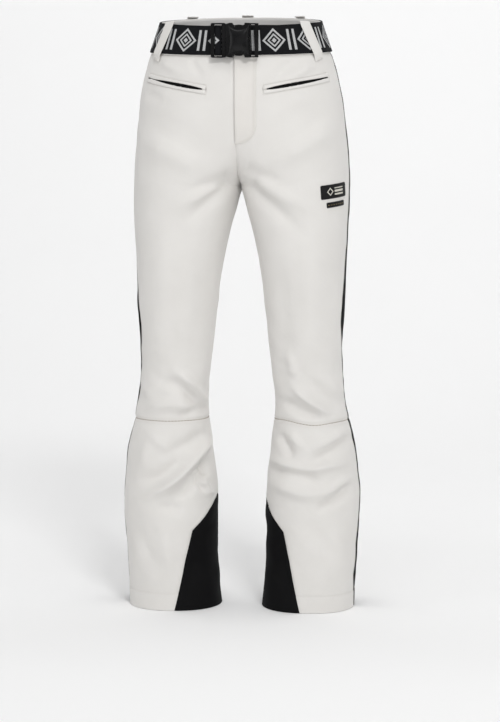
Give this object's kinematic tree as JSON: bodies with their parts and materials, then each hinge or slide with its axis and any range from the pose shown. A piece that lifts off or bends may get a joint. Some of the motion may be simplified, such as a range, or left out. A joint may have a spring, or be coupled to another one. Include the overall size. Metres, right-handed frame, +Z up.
{
  "type": "ski trousers",
  "caption": "Slim flared softshell ski trousers with slanted zipped hand pockets, webbing belt with side-release buckle, black side panels and inner ankle guards",
  "frame": {"origin": "centre of the waist opening, in the middle plane, 985 mm above the level of the hems", "axes": "+Z up the body, +X to the wearer's left, the front of the garment faces -Y"},
  "size_m": [0.4024, 0.2562, 1.0039],
  "materials": {
    "white_softshell": "matt bonded softshell cloth",
    "black_softshell": "matt stretch softshell cloth",
    "lining": "thin brushed lining",
    "zip_tape": "woven tape with moulded coil",
    "gaiter_fabric": "coated taffeta",
    "webbing": "woven elastic webbing with a light geometric pattern",
    "white_webbing": "woven webbing end",
    "gloss_plastic": "glossy moulded acetal",
    "dull_plastic": "moulded",
    "zip_metal": "plated",
    "badge_rubber": "moulded with a raised light pattern"
  },
  "bodies": {
    "pelvis": {"front_hip_left": "white_softshell", "front_hip_right": "white_softshell", "back_hip_left": "white_softshell", "back_hip_right": "white_softshell", "groin_fold_left": "white_softshell", "groin_fold_right": "white_softshell", "pocket_welt_left": "white_softshell", "pocket_welt_right": "white_softshell", "side_hip_left": "black_softshell", "side_hip_right": "black_softshell", "pocket_bag_left": "lining", "pocket_bag_right": "lining", "pocket_zip_left": "zip_tape", "pocket_zip_right": "zip_tape", "waistband_shell": "white_softshell", "waistband_facing": "lining", "belt_webbing": "webbing", "belt_front_right": "webbing", "buckle_socket": "gloss_plastic", "belt_loop_front_left": "white_softshell", "belt_loop_front_right": "white_softshell", "belt_loop_back_left": "white_softshell", "belt_loop_back_right": "white_softshell", "belt_loop_centre_back": "white_softshell", "fly_placket": "white_softshell", "fly_shield": "lining", "zip_tape_left": "zip_tape", "zip_tape_right": "zip_tape", "zip_chain": "zip_tape"},
    "thigh_left": {"front_thigh_left": "white_softshell", "back_thigh_left": "white_softshell", "knee_fold_left": "white_softshell", "side_thigh_left": "black_softshell", "badge_large": "badge_rubber", "badge_small": "badge_rubber"},
    "thigh_right": {"front_thigh_right": "white_softshell", "back_thigh_right": "white_softshell", "knee_fold_right": "white_softshell", "side_thigh_right": "black_softshell"},
    "shin_left": {"front_shin_left": "white_softshell", "back_shin_left": "white_softshell", "side_shin_left": "black_softshell", "scuff_guard_left": "black_softshell", "boot_gaiter_left": "gaiter_fabric"},
    "shin_right": {"front_shin_right": "white_softshell", "back_shin_right": "white_softshell", "side_shin_right": "black_softshell", "scuff_guard_right": "black_softshell", "boot_gaiter_right": "gaiter_fabric"},
    "pocket_slider_body_left": {"pocket_slider_left": "dull_plastic"},
    "pocket_slider_body_right": {"pocket_slider_right": "dull_plastic"},
    "pocket_pull_body_left": {"pocket_pull_left": "dull_plastic"},
    "pocket_pull_body_right": {"pocket_pull_right": "dull_plastic"},
    "plug": {"belt_tab": "white_webbing", "buckle_plug": "gloss_plastic"},
    "prong_upper": {"release_prong_upper": "gloss_plastic"},
    "prong_lower": {"release_prong_lower": "gloss_plastic"},
    "fly_slider_body": {"fly_slider": "zip_metal"},
    "fly_pull_body": {"fly_pull": "zip_metal"}
  },
  "joints": [
    {"name": "hip_left", "type": "hinge", "parent": "pelvis", "child": "thigh_left", "pos_m": [0.09, 0, -0.173], "axis": [-1, 0, 0], "range_deg": [-15, 75], "deforming": ["groin_fold_left"]},
    {"name": "knee_left", "type": "hinge", "parent": "thigh_left", "child": "shin_left", "pos_m": [0.115, -0.008, -0.606], "axis": [1, 0, 0], "range_deg": [0, 85], "deforming": ["knee_fold_left"]},
    {"name": "hip_right", "type": "hinge", "parent": "pelvis", "child": "thigh_right", "pos_m": [-0.09, 0, -0.173], "axis": [-1, 0, 0], "range_deg": [-15, 75], "deforming": ["groin_fold_right"]},
    {"name": "knee_right", "type": "hinge", "parent": "thigh_right", "child": "shin_right", "pos_m": [-0.115, -0.008, -0.606], "axis": [1, 0, 0], "range_deg": [0, 85], "deforming": ["knee_fold_right"]},
    {"name": "buckle_release", "type": "slide", "parent": "pelvis", "child": "plug", "axis": [-1, 0, 0], "range_m": [0, 0.03], "deforming": ["belt_front_right"]},
    {"name": "prong_press_upper", "type": "slide", "parent": "plug", "child": "prong_upper", "axis": [0, 0, -1], "range_m": [0, 0.0025], "stiffness_N_per_m": 1500},
    {"name": "prong_press_lower", "type": "slide", "parent": "plug", "child": "prong_lower", "axis": [0, 0, 1], "range_m": [0, 0.0025], "stiffness_N_per_m": 1500},
    {"name": "fly_zip", "type": "slide", "parent": "pelvis", "child": "fly_slider_body", "axis": [0, 0.0663, -0.9978], "range_m": [0, 0.095], "deforming": ["zip_chain"]},
    {"name": "fly_pull_lift", "type": "hinge", "parent": "fly_slider_body", "child": "fly_pull_body", "pos_m": [0, -0.10144, -0.06956], "axis": [-1, 0, 0], "range_deg": [0, 5]},
    {"name": "pocket_zip_left_run", "type": "hinge", "parent": "pelvis", "child": "pocket_slider_body_left", "pos_m": [0.04034, 0.02609, -0.09955], "axis": [0.1537, 0.0965, -0.9834], "range_deg": [0, 39], "deforming": ["pocket_zip_left"]},
    {"name": "pocket_pull_left_lift", "type": "hinge", "parent": "pocket_slider_body_left", "child": "pocket_pull_body_left", "pos_m": [0.14616, -0.06147, -0.09161], "axis": [-0.1537, -0.0965, 0.9834], "range_deg": [0, 100]},
    {"name": "pocket_zip_right_run", "type": "hinge", "parent": "pelvis", "child": "pocket_slider_body_right", "pos_m": [-0.04034, 0.02609, -0.09955], "axis": [0.1537, -0.0965, 0.9834], "range_deg": [0, 39], "deforming": ["pocket_zip_right"]},
    {"name": "pocket_pull_right_lift", "type": "hinge", "parent": "pocket_slider_body_right", "child": "pocket_pull_body_right", "pos_m": [-0.14616, -0.06147, -0.09161], "axis": [-0.1537, 0.0965, -0.9834], "range_deg": [0, 100]}
  ]
}
